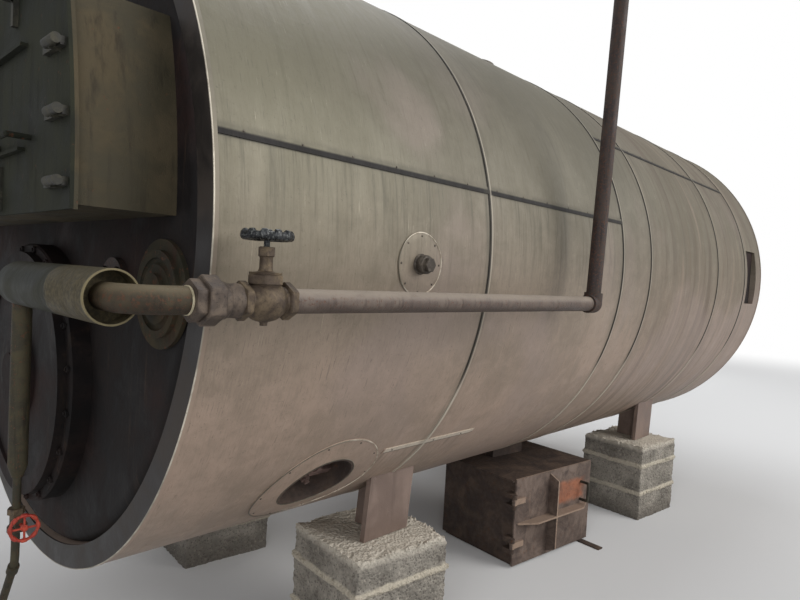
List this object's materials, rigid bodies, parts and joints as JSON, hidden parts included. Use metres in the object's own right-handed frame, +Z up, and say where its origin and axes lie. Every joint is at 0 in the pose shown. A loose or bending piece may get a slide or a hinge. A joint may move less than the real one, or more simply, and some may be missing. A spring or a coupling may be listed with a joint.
{
  "type": "industrial boiler",
  "caption": "Horizontal shell boiler on block piers, with front smokebox, side line with stop valve and drain, manhole, legs and an ash box with a hinged door.",
  "frame": {"origin": "on the ground, under the middle of the bounding box", "axes": "+X runs along the boiler from its smokebox to its rear, +Z is up, and the side with the valve line faces -Y"},
  "size_m": [5.306, 2.558, 2.975],
  "materials": {
    "boiler_plate": "matt",
    "dark_plate": "sooty, matt",
    "cladding_sheet": "weathered, satin",
    "rim_sheet": "weathered, satin",
    "smokebox_paint": "weathered, matt",
    "door_paint": "weathered, matt",
    "rusty_steel": "rusty, matt",
    "leg_paint": "weathered, matt",
    "pier_concrete": "rough",
    "ash_door_steel": "rusty, matt",
    "pipe_steel": "weathered, satin",
    "sleeve_sheet": "weathered, satin",
    "valve_bronze": "tarnished",
    "wheel_black": "satin paint",
    "wheel_red": "worn paint"
  },
  "bodies": {
    "boiler": {"pressure_shell": "boiler_plate", "front_tube_plate": "dark_plate", "rear_end_plate": "dark_plate", "jacket_band_1": "cladding_sheet", "jacket_band_2": "cladding_sheet", "jacket_band_3": "cladding_sheet", "jacket_band_4": "cladding_sheet", "jacket_band_5": "cladding_sheet", "jacket_band_6": "cladding_sheet", "front_rim": "rim_sheet", "rear_rim": "cladding_sheet", "smokebox_casing": "smokebox_paint", "smokebox_door": "door_paint", "smokebox_clamps": "door_paint", "smokebox_handles": "door_paint", "furnace_mouth": "dark_plate", "furnace_cover": "dark_plate", "handhole_covers": "dark_plate", "manhole_ring": "rim_sheet", "manhole_neck": "rusty_steel", "manhole_lid": "rusty_steel", "manhole_bridge": "rusty_steel", "inspection_cover": "rim_sheet", "front_legs": "leg_paint", "rear_legs": "leg_paint", "front_piers": "pier_concrete", "rear_piers": "pier_concrete", "ash_box": "rusty_steel", "feed_nozzle": "pipe_steel", "pipe_sleeve": "sleeve_sheet", "cross_pipe": "pipe_steel", "pipe_union": "pipe_steel", "valve_body": "valve_bronze", "valve_bonnet": "valve_bronze", "side_pipe": "pipe_steel", "riser_pipe": "pipe_steel", "drop_pipe": "pipe_steel", "drain_valve": "valve_bronze", "crown_nozzles": "boiler_plate", "side_hatch": "dark_plate", "flue_outlet": "boiler_plate"},
    "ash_door_leaf": {"ash_door": "ash_door_steel", "ash_door_handle": "rusty_steel"},
    "stop_valve_wheel": {"valve_wheel": "wheel_black"},
    "drain_valve_wheel": {"drain_wheel": "wheel_red"}
  },
  "joints": [
    {"name": "ash_door_hinge", "type": "hinge", "parent": "boiler", "child": "ash_door_leaf", "pos_m": [-0.16848, -0.58337, 0.26], "axis": [0, 0, -1], "range_deg": [0, 110]},
    {"name": "stop_valve_spindle", "type": "hinge", "parent": "boiler", "child": "stop_valve_wheel", "pos_m": [-2.27, -1.1965, 1.676], "axis": [0, 0, 1], "continuous": true},
    {"name": "drain_valve_spindle", "type": "hinge", "parent": "boiler", "child": "drain_valve_wheel", "pos_m": [-2.58, -0.59555, 0.883], "axis": [0, -1, 0], "continuous": true}
  ]
}
